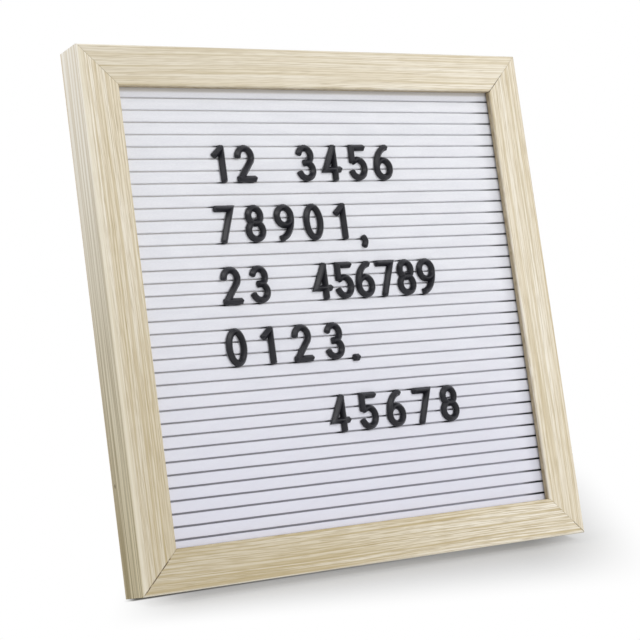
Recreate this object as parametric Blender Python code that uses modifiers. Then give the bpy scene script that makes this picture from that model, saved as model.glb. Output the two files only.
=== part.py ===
"""Felt letter board, 10 inches square, standing on a folding leg.

A mitred wooden frame holds a grooved core board faced with felt. Plastic numerals stand in the
grooves on small prongs. Behind, a hardboard back carries a wooden leg that turns on a steel pin.

The board is modelled upright in its own frame: x to the right with 0 in the middle, y up from
the bottom edge, z towards the viewer with 0 at the frame's front. An empty leans all of it back.
"""
import math

import bmesh
import bpy
from mathutils import Matrix, Vector

MM = 0.001
GAP = 0.3 * MM                      # clearance between pieces that touch

# the board and its frame
BOARD = 254 * MM                    # outside width and height
LEAN = math.radians(14.5)           # how far the board leans back
FACE = 19.5 * MM                    # width of a rail's front face
DEPTH = 18 * MM                     # front to back of the frame
LIP = 3.7 * MM                      # thickness of the lip in front of the felt
RABBET = 6 * MM                     # how far the lip overhangs the panel
EASE = 0.9 * MM                     # rounding of the long front edges
MITRE = 0.1 * MM                    # open joint between two rails

# the felt panel
PITCH = 5.905 * MM                  # from one groove to the next
TOP_MARGIN = 4.6 * MM               # from the frame's opening to the first groove
BOTTOM_MARGIN = 3.0 * MM            # least distance from the last groove to the opening
GROOVE = 1.0 * MM                   # clear width of a groove, felt to felt
GROOVE_DEPTH = 3.3 * MM
FELT = 0.45 * MM                    # thickness of the cloth
SLOT = GROOVE + 2 * FELT + 0.5 * MM  # width of a slot in the core board
FELT_FRONT = LIP + GAP              # depth of the felt's face behind the frame's front
CORE_FRONT = FELT_FRONT + FELT + GAP
CORE_BACK = 11.7 * MM
BACKING = 2.5 * MM

# the characters
STROKE = 3.5 * MM                   # width of a stroke where it meets the felt
RIDGE = 1.3 * MM                    # width of its flat top
PROUD = 2.8 * MM                    # height above its back face
END_START = 0.35                    # where an open end begins to narrow, in half strokes
END_REACH = 1.0                     # where it ends
END_WIDTH = 0.45                    # its width there, of the full width
PRONG = 0.5 * MM                    # thickness of a prong
PRONG_WIDTH = 1.7 * MM
PRONG_LENGTH = 2.8 * MM

# the leg and its bracket
LEG_ANGLE = math.radians(12)        # from upright, when open
LEG = 6 * MM                        # thickness
LEG_TOP = 20 * MM                   # width in the bracket
LEG_FOOT = 40 * MM                  # width at the floor
LEG_TAIL = 12 * MM                  # length above the pin
LEG_EASE = 0.6 * MM                 # rounding of its edges
PIN_HEIGHT = 160 * MM               # up the board from its bottom edge
PIN = 1.5 * MM                      # radius
PLATE = 1.0 * MM                    # sheet thickness of the bracket's plate
EAR = 1.2 * MM                      # and of its ears
EAR_RADIUS = 4.5 * MM

OPENING = BOARD - 2 * FACE
WALL = FACE - RABBET                # wood beside the rabbet
PANEL = OPENING + 2 * RABBET - 1.0 * MM
GROOVES = int((OPENING - TOP_MARGIN - BOTTOM_MARGIN) / PITCH) + 1
MIDDLE = BOARD / 2
BACKING_FRONT = CORE_BACK + GAP
BACKING_REAR = BACKING_FRONT + BACKING
PLATE_REAR = BACKING_REAR + GAP + PLATE
PIN_DEPTH = DEPTH + 2 * GAP + LEG / 2
OPEN_ANGLE = LEAN + LEG_ANGLE       # between the folded leg and the open one

for ob in list(bpy.data.objects):
    bpy.data.objects.remove(ob)

parts = bpy.data.collections.new("felt_letter_board")
cutters = bpy.data.collections.new("cutters")
for group in (parts, cutters):
    bpy.context.scene.collection.children.link(group)


def material(name, colour, roughness, metallic=0.0):
    """A plain Principled material."""
    made = bpy.data.materials.new(name)
    made.use_nodes = True
    shader = made.node_tree.nodes["Principled BSDF"]
    shader.inputs["Base Color"].default_value = (*colour, 1)
    shader.inputs["Roughness"].default_value = roughness
    shader.inputs["Metallic"].default_value = metallic
    return made


PALE_WOOD = material("pale_oak", (0.72, 0.62, 0.47), 0.55)
WHITE_FELT = material("white_felt", (0.79, 0.79, 0.83), 0.95)
FIBREBOARD = material("fibreboard", (0.45, 0.33, 0.22), 0.85)
HARDBOARD = material("hardboard", (0.20, 0.12, 0.07), 0.7)
CHARCOAL = material("charcoal_plastic", (0.027, 0.027, 0.033), 0.4)
ZINC = material("zinc_plated_steel", (0.60, 0.60, 0.58), 0.35, 1.0)
BRASSED = material("brassed_steel", (0.70, 0.52, 0.24), 0.35, 1.0)


def add(name, mesh, look, parent, at=(0, 0, 0), turn=0.0):
    """Put a mesh in the model as a named piece, at a place in its parent's frame."""
    ob = bpy.data.objects.new(name, mesh)
    parts.objects.link(ob)
    ob.parent = parent
    ob.location = at
    ob.rotation_euler.z = turn
    if look and not mesh.materials:
        mesh.materials.append(look)
    return ob


def cutter(name, mesh, parent, at=(0, 0, 0), turn=0.0):
    """A shape that only cuts others."""
    ob = bpy.data.objects.new(name, mesh)
    cutters.objects.link(ob)
    ob.parent = parent
    ob.location = at
    ob.rotation_euler.z = turn
    ob.hide_render = True
    ob.display_type = 'WIRE'
    return ob


def boolean(ob, other, operation='DIFFERENCE'):
    """Cut or join one object with another."""
    step = ob.modifiers.new(operation.lower(), 'BOOLEAN')
    step.operation = operation
    step.solver = 'EXACT'
    step.object = other


def prism(name, outline, thickness, along='z'):
    """A flat outline as a filled 2D curve, extruded by half its thickness to each side.

    The outline's two coordinates are (x, y) for along='z', (y, z) for 'x' and (x, z) for 'y'.
    """
    curve = bpy.data.curves.new(name, 'CURVE')
    curve.dimensions = '2D'
    curve.fill_mode = 'BOTH'
    curve.extrude = thickness / 2
    spline = curve.splines.new('POLY')
    spline.points.add(len(outline) - 1)
    for point, (u, v) in zip(spline.points, outline):
        point.co = (u, v, 0, 1)
    spline.use_cyclic_u = True
    ob = bpy.data.objects.new(name, curve)
    cutters.objects.link(ob)
    graph = bpy.context.evaluated_depsgraph_get()
    mesh = bpy.data.meshes.new_from_object(ob.evaluated_get(graph))
    bpy.data.objects.remove(ob)
    if along == 'x':
        mesh.transform(Matrix(((0, 0, 1, 0), (1, 0, 0, 0), (0, 1, 0, 0), (0, 0, 0, 1))))
    if along == 'y':
        mesh.transform(Matrix(((1, 0, 0, 0), (0, 0, -1, 0), (0, 1, 0, 0), (0, 0, 0, 1))))
    work = bmesh.new()
    work.from_mesh(mesh)
    bmesh.ops.remove_doubles(work, verts=work.verts, dist=0.001 * MM)
    bmesh.ops.recalc_face_normals(work, faces=work.faces)
    work.to_mesh(mesh)
    work.free()
    return mesh


def box(name, size, centre=(0, 0, 0)):
    """A box of a size about a centre."""
    work = bmesh.new()
    bmesh.ops.create_cube(work, size=1)
    bmesh.ops.scale(work, vec=size, verts=work.verts)
    bmesh.ops.translate(work, vec=centre, verts=work.verts)
    mesh = bpy.data.meshes.new(name)
    work.to_mesh(mesh)
    work.free()
    return mesh


def cylinder(name, radius, length, along='z', sides=16):
    """A closed cylinder about the origin."""
    work = bmesh.new()
    bmesh.ops.create_cone(work, cap_ends=True, segments=sides, radius1=radius, radius2=radius,
                          depth=length)
    mesh = bpy.data.meshes.new(name)
    work.to_mesh(mesh)
    work.free()
    if along == 'x':
        mesh.transform(Matrix.Rotation(math.pi / 2, 4, 'Y'))
    return mesh


def turned(name, profile, sides=16):
    """A profile of (radius, height) turned about z with a Screw modifier, top to bottom."""
    mesh = bpy.data.meshes.new(name)
    mesh.from_pydata([(r, 0, h) for r, h in profile],
                     [(i, i + 1) for i in range(len(profile) - 1)], [])
    ob = bpy.data.objects.new(name, mesh)
    cutters.objects.link(ob)
    spin = ob.modifiers.new("turn", 'SCREW')
    spin.steps = spin.render_steps = sides
    spin.use_merge_vertices = True
    spin.merge_threshold = 0.001 * MM
    spin.use_smooth_shade = False
    graph = bpy.context.evaluated_depsgraph_get()
    made = bpy.data.meshes.new_from_object(ob.evaluated_get(graph))
    made.name = name
    bpy.data.objects.remove(ob)
    made.shade_smooth()
    made.set_sharp_from_angle(angle=math.radians(35))
    return made


def arc(centre, radius, start, end, count):
    """Points on an arc or ellipse, angles in degrees."""
    rx, ry = radius if isinstance(radius, tuple) else (radius, radius)
    turns = [math.radians(start + (end - start) * i / count) for i in range(count + 1)]
    return [(centre[0] + rx * math.cos(t), centre[1] + ry * math.sin(t)) for t in turns]


# FRAME: four rails of one section, a face with eased edges, a lip and a wall beside the rabbet.
# The section is (y, z), with y inwards from the outer edge and z = 0 at the front.
section = (
    arc((EASE, -EASE), EASE, 180, 90, 3)
    + arc((FACE - EASE, -EASE), EASE, 90, 0, 3)
    + [(FACE, -LIP), (WALL, -LIP), (WALL, -DEPTH), (0, -DEPTH)]
)

# Lean the whole board about its bottom edge and stand its lowest line on the floor. The leg's
# foot reaches the floor behind it, and the model's box is centred on the origin.
floor_drop = -min(y * math.cos(LEAN) + z * math.sin(LEAN) for y, z in section)
front_line = min(y * math.sin(LEAN) - z * math.cos(LEAN) for y, z in section)
pin_y = PIN_HEIGHT * math.sin(LEAN) + PIN_DEPTH * math.cos(LEAN)
pin_z = PIN_HEIGHT * math.cos(LEAN) - PIN_DEPTH * math.sin(LEAN) + floor_drop
foot_line = pin_y + pin_z * math.tan(LEG_ANGLE) + LEG / 2 / math.cos(LEG_ANGLE)

board = bpy.data.objects.new("board_frame", None)
board.location = (0, -(front_line + foot_line) / 2, floor_drop)
board.rotation_euler.x = math.pi / 2 - LEAN
parts.objects.link(board)


def rail(name, quarter):
    """One rail, its ends cut to a mitre by sliding them in as far as they lie from the edge."""
    mesh = prism(name, section, BOARD, along='x')
    for vert in mesh.vertices:
        end = MIDDLE - vert.co.y - MITRE / math.sqrt(2)
        vert.co.x = math.copysign(end, vert.co.x)
        vert.co.y -= MIDDLE
    return add(name, mesh, PALE_WOOD, board, (0, MIDDLE, 0), quarter * math.pi / 2)


rails = [rail(name, k) for k, name in
         enumerate(("rail_bottom", "rail_right", "rail_top", "rail_left"))]


def around(quarter, x, y):
    """A place given from the board's middle, turned by quarters about that middle."""
    spot = Matrix.Rotation(quarter * math.pi / 2, 3, 'Z') @ Vector((x, y, 0))
    return spot.x, spot.y + MIDDLE


# V-NAILS: bent steel strips driven in from behind across each mitre, in slots that fit them.
NAIL_SHEET = 0.5 * MM
NAIL_ARM = 5 * MM
NAIL_HEIGHT = 8 * MM
NAIL_INSET = 4.5 * MM


def angle_outline(arm, sheet, grow):
    """An L with equal arms, grown by a clearance."""
    near, far, inner = -grow, arm + grow, sheet + grow
    return [(near, near), (far, near), (far, inner), (inner, inner), (inner, far), (near, far)]


v_nail = prism("v_nail", angle_outline(NAIL_ARM, NAIL_SHEET, 0), NAIL_HEIGHT)
v_slot = prism("v_slot", angle_outline(NAIL_ARM, NAIL_SHEET, GAP), NAIL_HEIGHT + 2 * MM)
for k in range(4):
    x, y = around(k, NAIL_INSET - MIDDLE, NAIL_INSET - MIDDLE)
    add(f"v_nail_{k + 1}", v_nail, ZINC, board,
        (x, y, -DEPTH + NAIL_HEIGHT / 2 + 0.2 * MM), k * math.pi / 2)
    slot = cutter(f"v_slot_{k + 1}", v_slot, board,
                  (x, y, -DEPTH + NAIL_HEIGHT / 2 - 0.5 * MM), k * math.pi / 2)
    boolean(rails[k], slot)
    boolean(rails[(k + 3) % 4], slot)

# BACKING POINTS: flat steel points, two in each rail's inner wall, just behind the backing.
POINT_SHEET = 0.5 * MM
POINT_WIDTH = 6 * MM
POINT_IN = 5 * MM
POINT_OUT = 9.5 * MM
POINT_DEPTH = BACKING_REAR + GAP + POINT_SHEET / 2
half = POINT_WIDTH / 2
point_mesh = prism("backing_point", [
    (-half, POINT_OUT - 2 * MM), (-half, 0), (-half + 2 * MM, -POINT_IN),
    (half - 2 * MM, -POINT_IN), (half, 0), (half, POINT_OUT - 2 * MM),
    (half - 2 * MM, POINT_OUT), (-half + 2 * MM, POINT_OUT)], POINT_SHEET)
point_slot = box("point_slot", (POINT_WIDTH + 2 * GAP, POINT_IN + 2 * GAP + 1 * MM,
                                POINT_SHEET + 2 * GAP),
                 (0, (1 * MM - POINT_IN) / 2, 0))
for k in range(4):
    for side in (-1, 1):
        x, y = around(k, side * BOARD / 4, WALL - MIDDLE)
        number = 2 * k + (3 + side) // 2
        add(f"backing_point_{number}", point_mesh, ZINC, board,
            (x, y, -POINT_DEPTH), k * math.pi / 2)
        boolean(rails[k], cutter(f"point_slot_{number}", point_slot, board,
                                 (x, y, -POINT_DEPTH), k * math.pi / 2))

# FELT PANEL: a core board with a slot behind each groove, and a cloth tucked into every slot.
first = FACE + OPENING - TOP_MARGIN
groove_heights = [first - PITCH * k for k in range(GROOVES)]
low, high = MIDDLE - PANEL / 2, MIDDLE + PANEL / 2

core = [(low, -CORE_BACK), (low, -CORE_FRONT)]
slot_floor = FELT_FRONT + GROOVE_DEPTH + FELT + GAP
for y in reversed(groove_heights):
    core += [(y - SLOT / 2, -CORE_FRONT), (y - SLOT / 2, -slot_floor),
             (y + SLOT / 2, -slot_floor), (y + SLOT / 2, -CORE_FRONT)]
core += [(high, -CORE_FRONT), (high, -CORE_BACK)]
core_board = add("core_board", prism("core_board", core, PANEL, along='x'), FIBREBOARD, board)

SOFT = 0.6 * MM                     # how far the cloth rounds over into a groove
CROWN = 0.12 * MM                   # how far it swells between two grooves
front = FELT_FRONT + CROWN
wall = GROOVE / 2
cloth = [(low, -front)]
for k, y in enumerate(reversed(groove_heights)):
    if k:
        cloth.append((y - PITCH / 2, -FELT_FRONT))
    cloth += [(y - wall - SOFT, -front), (y - wall, -front - SOFT),
              (y - wall, -FELT_FRONT - GROOVE_DEPTH), (y + wall, -FELT_FRONT - GROOVE_DEPTH),
              (y + wall, -front - SOFT), (y + wall + SOFT, -front)]
cloth += [(high, -front), (high, -front - FELT + CROWN)]
under = wall + FELT
for y in groove_heights:
    cloth += [(y + under, -FELT_FRONT - FELT), (y + under, -slot_floor + GAP),
              (y - under, -slot_floor + GAP), (y - under, -FELT_FRONT - FELT)]
cloth.append((low, -FELT_FRONT - FELT))
add("felt_facing", prism("felt_facing", cloth, PANEL, along='x'), WHITE_FELT, board)

backing = add("backing_board", box("backing_board", (PANEL, PANEL, BACKING)), HARDBOARD, board,
              (0, MIDDLE, -BACKING_FRONT - BACKING / 2))


# CHARACTERS: moulded strokes with sloping sides and hipped ends, joined into one piece, with
# prongs behind that stand in two grooves three pitches apart.
HEIGHT = 3 * PITCH + 0.9 * MM
WIDTH = 1.9 * PITCH
HALF_X = (WIDTH - STROKE) / 2       # reach of a stroke's centreline
HALF_Y = (HEIGHT - STROKE) / 2


def stroke(path, closed=False, base=STROKE, ridge=RIDGE, proud=PROUD):
    """Loft a four-sided section along a centreline, wide at the back and narrow in front.

    Each station lies on the bisector of its two segments. An open end narrows in plan and slopes
    like the sides, so it gets two stations of its own.
    """
    points = [Vector(p) for p in path]
    count = len(points)
    stations = []
    for i, here in enumerate(points):
        before = points[i - 1] if i or closed else None
        after = points[(i + 1) % count] if i < count - 1 or closed else None
        back = (here - before).normalized() if before else None
        ahead = (after - here).normalized() if after else None
        along = ((back or ahead) + (ahead or back)).normalized()
        side = Vector((-along.y, along.x)) / max(along.dot(ahead or back), 0.5)
        ends = [(0, 1)]
        if not closed and i == 0:
            ends = [(-END_REACH, END_WIDTH), (-END_START, 1)]
        if not closed and i == count - 1:
            ends = [(END_START, 1), (END_REACH, END_WIDTH)]
        for reach, width in ends:
            stations.append([here + (along * reach + side * s * width) * w / 2
                             for s, w in ((1, base), (1, ridge), (-1, ridge), (-1, base))])
    work = bmesh.new()
    heights = (0, proud, proud, 0)
    rings = [[work.verts.new((p.x, p.y, h)) for p, h in zip(ring, heights)]
             for ring in stations]
    for i in range(len(rings) if closed else len(rings) - 1):
        here, there = rings[i], rings[(i + 1) % len(rings)]
        for j in range(4):
            work.faces.new((here[j], here[(j + 1) % 4], there[(j + 1) % 4], there[j]))
    if not closed:
        work.faces.new(rings[0])
        work.faces.new(rings[-1])
    bmesh.ops.recalc_face_normals(work, faces=work.faces)
    mesh = bpy.data.meshes.new("stroke")
    work.to_mesh(mesh)
    work.free()
    return mesh


def line(*points):
    """A stroke's centreline from points in half widths and half heights of a character."""
    return [(x * HALF_X, y * HALF_Y) for x, y in points]


def bow(centre, radius, start, end, count):
    """A curved centreline in the same units."""
    return line(*arc(centre, radius, start, end, count))


def loop(centre, radius, count):
    """A closed centreline in the same units."""
    return bow(centre, radius, 90, 450, count)[:-1]


def character(name, strokes, prongs, reach=1.5 * PITCH):
    """Join strokes and prongs. Each prong is (x in half widths, -1 bottom or 1 top)."""
    shapes = [stroke(*one) for one in strokes]
    for x, end in prongs:
        shapes.append(box("prong", (PRONG_WIDTH, PRONG, PRONG_LENGTH + 1 * MM),
                          (x * HALF_X, end * reach, (1 * MM - PRONG_LENGTH) / 2)))
    made = bpy.data.objects.new(name, shapes[0])
    cutters.objects.link(made)
    others = []
    for shape in shapes[1:]:
        other = bpy.data.objects.new(name, shape)
        cutters.objects.link(other)
        boolean(made, other, 'UNION')
        others.append(other)
    graph = bpy.context.evaluated_depsgraph_get()
    mesh = bpy.data.meshes.new_from_object(made.evaluated_get(graph))
    mesh.name = name
    for ob in [made] + others:
        bpy.data.objects.remove(ob)
    return mesh


comma = [(x * STROKE, y * STROKE) for x, y in
         ((-0.12, 0.12), (0.12, 0.04), (0.2, -0.3), (0.16, -0.65), (-0.02, -1.0))]
dot = [(-0.08 * STROKE, 0), (0.08 * STROKE, 0)]
GLYPHS = {
    '0': character("zero", [(loop((0, 0), (1, 1), 20), True)], [(0, 1), (0, -1)]),
    '1': character("one", [(line((0.25, 1), (0.25, -1)),), (line((0.1, 0.93), (-0.7, 0.58)),)],
                   [(0.25, 1), (0.25, -1)]),
    '2': character("two", [(bow((0, 0.45), (0.95, 0.55), 170, -35, 9) + line((-0.75, -0.9)),),
                           (line((-0.95, -1), (1, -1)),)], [(0, 1), (-0.8, -1), (0.8, -1)]),
    '3': character("three", [(bow((0, 0.5), (0.88, 0.5), 155, -90, 9),),
                             (bow((0, -0.48), (1, 0.52), 90, -155, 10),)], [(0, 1), (0, -1)]),
    '4': character("four", [(line((0.4, 1), (-1, -0.45), (1, -0.45)),),
                            (line((0.4, 0.96), (0.4, -1)),)], [(0.4, 1), (0.4, -1)]),
    '5': character("five", [(line((0.9, 1), (-0.75, 1), (-0.8, 0.16)),),
                            (bow((-0.02, -0.4), (1, 0.6), 122, -152, 10),)],
                   [(-0.7, 1), (0.7, 1), (0, -1)]),
    '6': character("six", [(loop((0, -0.42), (1, 0.58), 16), True),
                           (bow((0.75, -0.42), (1.75, 1.42), 175, 98, 6),)],
                   [(0.5, 1), (0, -1)]),
    '7': character("seven", [(line((-1, 1), (1, 1), (-0.35, -1)),)],
                   [(-0.8, 1), (0.8, 1), (-0.35, -1)]),
    '8': character("eight", [(loop((0, 0.5), (0.86, 0.5), 14), True),
                             (loop((0, -0.46), (1, 0.54), 16), True)], [(0, 1), (0, -1)]),
    '9': character("nine", [(loop((0, 0.42), (1, 0.58), 16), True),
                            (bow((-0.75, 0.42), (1.75, 1.42), -5, -82, 6),)],
                   [(0, 1), (-0.5, -1)]),
    ',': character("comma", [(comma, False, 0.85 * STROKE)], [(0, -1)], reach=0),
    '.': character("full_stop", [(dot, False, 1.05 * STROKE, 0.5 * RIDGE)], [(0, -1)], reach=0),
}
NAMES = dict(zip("0123456789,.", ("zero", "one", "two", "three", "four", "five", "six", "seven",
                                  "eight", "nine", "comma", "full_stop")))

# Each row: its top groove, then groups of characters with the first one's centre and the step,
# both in pitches from the board's middle.
ROWS = (
    (4, (("12", -9.75, 2.3), ("3456", -1.7, 2.58))),
    (9, (("78901", -10.05, 2.79), (",", 3.1, 0))),
    (14, (("23", -10.2, 2.6), ("456789", -1.6, 2.1))),
    (19, (("0123", -10.45, 3.06), (".", 0.72, 0))),
    (25, (("45678", -1.6, 2.75),)),
)
used = {}
for top, groups in ROWS:
    for text, start, step in groups:
        for k, glyph in enumerate(text):
            used[glyph] = used.get(glyph, 0) + 1
            groove = top + (3 if glyph in ",." else 1.5)
            add(f"{NAMES[glyph]}_{used[glyph]}", GLYPHS[glyph], CHARCOAL, board,
                ((start + step * k) * PITCH, first - groove * PITCH, -FELT_FRONT + GAP))

# SAWTOOTH HANGER: a bent steel strip, its middle standing off the wood, with teeth below.
HANGER = 44 * MM
HANGER_WIDTH = 8 * MM
HANGER_SHEET = 0.8 * MM
STAND_OFF = 1.3 * MM
TEETH = 9
TOOTH = 1.8 * MM
hanger_y = BOARD - WALL / 2
flat, ramp = HANGER / 2 - 6 * MM, HANGER / 2 - 8 * MM
bent = [(-HANGER / 2, 0), (-flat, 0), (-ramp, STAND_OFF), (ramp, STAND_OFF), (flat, 0),
        (HANGER / 2, 0)]
strip = [(x, -DEPTH - GAP - z) for x, z in bent]
strip += [(x, -DEPTH - GAP - z - HANGER_SHEET) for x, z in reversed(bent)]
hanger = add("sawtooth_hanger", prism("sawtooth_hanger", strip, HANGER_WIDTH, along='y'), ZINC,
             board, (0, hanger_y, 0))
saw = 2 * (ramp - 1.5 * MM) / TEETH
teeth = [(-ramp + 1.5 * MM, -3 * MM)]
for k in range(TEETH):
    left = -ramp + 1.5 * MM + k * saw
    teeth += [(left, 0), (left + saw / 2, TOOTH)]
teeth += [(ramp - 1.5 * MM, 0), (ramp - 1.5 * MM, -3 * MM)]
boolean(hanger, cutter("hanger_teeth", prism("hanger_teeth", teeth, 8 * MM), board,
                       (0, hanger_y - HANGER_WIDTH / 2, -DEPTH)))

tack = turned("tack", [(0, 1.0 * MM), (1.2 * MM, 0.75 * MM), (1.7 * MM, 0.2 * MM), (1.7 * MM, 0),
                       (0.6 * MM, 0), (0.6 * MM, -7 * MM), (0, -8.5 * MM)], 12)
hole = cylinder("tack_hole", 0.6 * MM + GAP, 12 * MM + HANGER_SHEET)
for k, side in enumerate((-1, 1)):
    x = side * (HANGER / 2 - 3 * MM)
    nail = add(f"hanger_tack_{k + 1}", tack, ZINC, board,
               (x, hanger_y, -DEPTH - 2 * GAP - HANGER_SHEET))
    nail.rotation_euler.x = math.pi
    drilled = cutter(f"tack_hole_{k + 1}", hole, board, (x, hanger_y, -DEPTH + 2 * MM))
    boolean(hanger, drilled)
    boolean(rails[2], drilled)

# LEG BRACKET: a plate against the backing with two ears for the pin, held by four screws.
SCREW_SPOTS = [(x * MM, y * MM) for x in (-7, 7) for y in (18, 27)]
plate_half = LEG_TOP / 2 + 0.5 * MM + EAR
plate_low, plate_high = -EAR_RADIUS - 1 * MM, 32 * MM
plate = [(-plate_half, plate_low), (plate_half, plate_low)]
plate += arc((plate_half - 3 * MM, plate_high - 3 * MM), 3 * MM, 0, 90, 3)
plate += arc((3 * MM - plate_half, plate_high - 3 * MM), 3 * MM, 90, 180, 3)
bracket = add("leg_bracket", prism("leg_bracket", plate, PLATE), ZINC, board,
              (0, PIN_HEIGHT, -PLATE_REAR + PLATE / 2))
ear = [(EAR_RADIUS, PIN_DEPTH - PLATE_REAR + PLATE / 2), (-EAR_RADIUS,
                                                         PIN_DEPTH - PLATE_REAR + PLATE / 2)]
ear += arc((0, 0), EAR_RADIUS, 180, 360, 10)
for side in (-1, 1):
    shape = cutter("ear_left" if side < 0 else "ear_right",
                   prism("ear", ear, EAR, along='x'), board,
                   (side * (plate_half - EAR / 2), PIN_HEIGHT, -PIN_DEPTH))
    boolean(bracket, shape, 'UNION')
boolean(bracket, cutter("ear_hole", cylinder("ear_hole", PIN + GAP, 60 * MM, 'x'), board,
                        (0, PIN_HEIGHT, -PIN_DEPTH)))

screw_mesh = turned("bracket_screw", [
    (0, 1.5 * MM), (1.4 * MM, 1.3 * MM), (2.3 * MM, 0.7 * MM), (2.5 * MM, 0), (1.2 * MM, 0),
    (1.2 * MM, -4.5 * MM), (0, -6.3 * MM)], 14)
screw_hole = cylinder("screw_hole", 1.2 * MM + GAP, 16 * MM)
for k, (x, y) in enumerate(SCREW_SPOTS):
    spot = (x, PIN_HEIGHT + y, -PLATE_REAR - GAP)
    piece = add(f"bracket_screw_{k + 1}", screw_mesh, ZINC, board, spot)
    piece.rotation_euler.x = math.pi
    drilled = cutter(f"screw_hole_{k + 1}", screw_hole, board,
                     (spot[0], spot[1], spot[2] + 6.9 * MM - 8 * MM))
    for ob in (bracket, backing, core_board):
        boolean(ob, drilled)

pin_half = plate_half + GAP
pin = add("leg_pin", turned("leg_pin", [
    (0, pin_half + 1.1 * MM), (1.9 * MM, pin_half + 0.8 * MM), (2.5 * MM, pin_half + 0.2 * MM),
    (2.5 * MM, pin_half), (PIN, pin_half), (PIN, -pin_half), (2.5 * MM, -pin_half),
    (2.5 * MM, -pin_half - 0.2 * MM), (1.9 * MM, -pin_half - 0.8 * MM),
    (0, -pin_half - 1.1 * MM)], 16), ZINC, board, (0, PIN_HEIGHT, -PIN_DEPTH))
pin.rotation_euler.y = math.pi / 2

# LEG: a strut that turns about the pin. Its bevelled top meets the bracket's plate when it is
# open, and its foot is cut level with the floor. Folded, it lies behind the frame.
pivot = bpy.data.objects.new("leg_pivot", None)
pivot.parent = board
pivot.location = (0, PIN_HEIGHT, -PIN_DEPTH)
pivot.rotation_euler.x = OPEN_ANGLE
parts.objects.link(pivot)


def sole(z):
    """Height of the foot's level cut at a depth through the leg."""
    return (z * math.sin(LEG_ANGLE) - pin_z) / math.cos(LEG_ANGLE)


reach = PIN_DEPTH - PLATE_REAR - GAP
skin = LEG / 2
shoulder = -(EAR_RADIUS + 6 * MM)
side_view = [
    ((reach - skin * math.cos(OPEN_ANGLE)) / math.sin(OPEN_ANGLE), skin),
    (LEG_TAIL, (reach - LEG_TAIL * math.sin(OPEN_ANGLE)) / math.cos(OPEN_ANGLE)),
    (LEG_TAIL, -skin), (sole(-skin), -skin), (sole(skin), skin)]
leg_mesh = prism("leg", side_view, LEG_TOP, along='x')
work = bmesh.new()
work.from_mesh(leg_mesh)
bmesh.ops.bisect_plane(work, geom=work.verts[:] + work.edges[:] + work.faces[:],
                       plane_co=(0, shoulder, 0), plane_no=(0, 1, 0))
for vert in work.verts:             # the strut widens evenly from its shoulder to its foot
    down = max(0.0, (shoulder - vert.co.y) / (shoulder - sole(0)))
    vert.co.x *= 1 + down * (LEG_FOOT / LEG_TOP - 1)
work.to_mesh(leg_mesh)
work.free()
leg = add("leg", leg_mesh, PALE_WOOD, pivot)
eased = leg.modifiers.new("eased", 'BEVEL')
eased.width = LEG_EASE
eased.segments = 2
eased.limit_method = 'ANGLE'
eased.angle_limit = math.radians(40)
boolean(leg, cutter("pin_hole", cylinder("pin_hole", PIN + GAP, 60 * MM, 'x'), pivot))
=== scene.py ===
import math

import bmesh
import bpy
import numpy as np
from mathutils import Matrix, Vector


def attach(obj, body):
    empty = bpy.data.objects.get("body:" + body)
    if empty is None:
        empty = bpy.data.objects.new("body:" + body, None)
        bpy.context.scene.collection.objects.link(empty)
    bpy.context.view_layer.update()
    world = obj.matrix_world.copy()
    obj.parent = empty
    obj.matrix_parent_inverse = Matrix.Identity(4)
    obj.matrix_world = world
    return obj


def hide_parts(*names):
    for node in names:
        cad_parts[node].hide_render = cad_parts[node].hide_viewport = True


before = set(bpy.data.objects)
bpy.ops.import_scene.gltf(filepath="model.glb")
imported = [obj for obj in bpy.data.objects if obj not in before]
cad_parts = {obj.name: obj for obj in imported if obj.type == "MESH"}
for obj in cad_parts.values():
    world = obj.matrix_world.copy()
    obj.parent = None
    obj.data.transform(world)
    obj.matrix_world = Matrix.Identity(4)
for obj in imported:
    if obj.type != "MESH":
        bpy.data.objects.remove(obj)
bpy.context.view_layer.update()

# STUDIO
# The board stands on a plain white ground, lit evenly from the front and from above, with a
# soft shadow. The camera stands on the left, a little below the top of the board, and looks
# slightly down. Its place and aim come from a fit to the frame's corners in the photo.
scene = bpy.context.scene
scene.view_settings.view_transform = 'Standard'

MM = 0.001
CAMERA_PLACE = (-0.48185, -0.76055, 0.20695)
CAMERA_AIM = (0.5294, 0.84287, -0.09912)


def collect(ob):
    """Put a new object into the scene."""
    scene.collection.objects.link(ob)
    return ob


def turn_to(aim):
    """The turn that makes a camera or a lamp look along a direction."""
    return Vector(aim).to_track_quat('-Z', 'Y').to_euler()


camera = collect(bpy.data.objects.new("camera", bpy.data.cameras.new("camera")))
camera.data.sensor_width = 36
camera.data.lens = 102.66
camera.data.clip_start, camera.data.clip_end = 0.05, 20
camera.location = CAMERA_PLACE
camera.rotation_euler = turn_to(CAMERA_AIM)
scene.camera = camera


class Socket:
    """A shader output that can be used in Python sums: each operator adds a Math node."""

    def __init__(self, nodes, out):
        self.nodes, self.out = nodes, out

    def math(self, operation, *others):
        return self.nodes.add('ShaderNodeMath', {'operation': operation}, self, *others)

    def __add__(self, other):
        return self.math('ADD', other)

    __radd__ = __add__

    def __sub__(self, other):
        return self.math('SUBTRACT', other)

    def __rsub__(self, other):
        return self.nodes.add('ShaderNodeMath', {'operation': 'SUBTRACT'}, other, self)

    def __mul__(self, other):
        return self.math('MULTIPLY', other)

    __rmul__ = __mul__

    def __truediv__(self, other):
        return self.math('DIVIDE', other)

    def power(self, other):
        return self.math('POWER', other)

    def at_least(self, other):
        return self.math('MAXIMUM', other)

    def sine(self):
        return self.math('SINE')

    def ramp(self, low, high):
        """0 below low, 1 above high and smooth between them."""
        return self.nodes.add('ShaderNodeMapRange', {'interpolation_type': 'SMOOTHSTEP'},
                              self, low, high, 0.0, 1.0)


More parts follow.
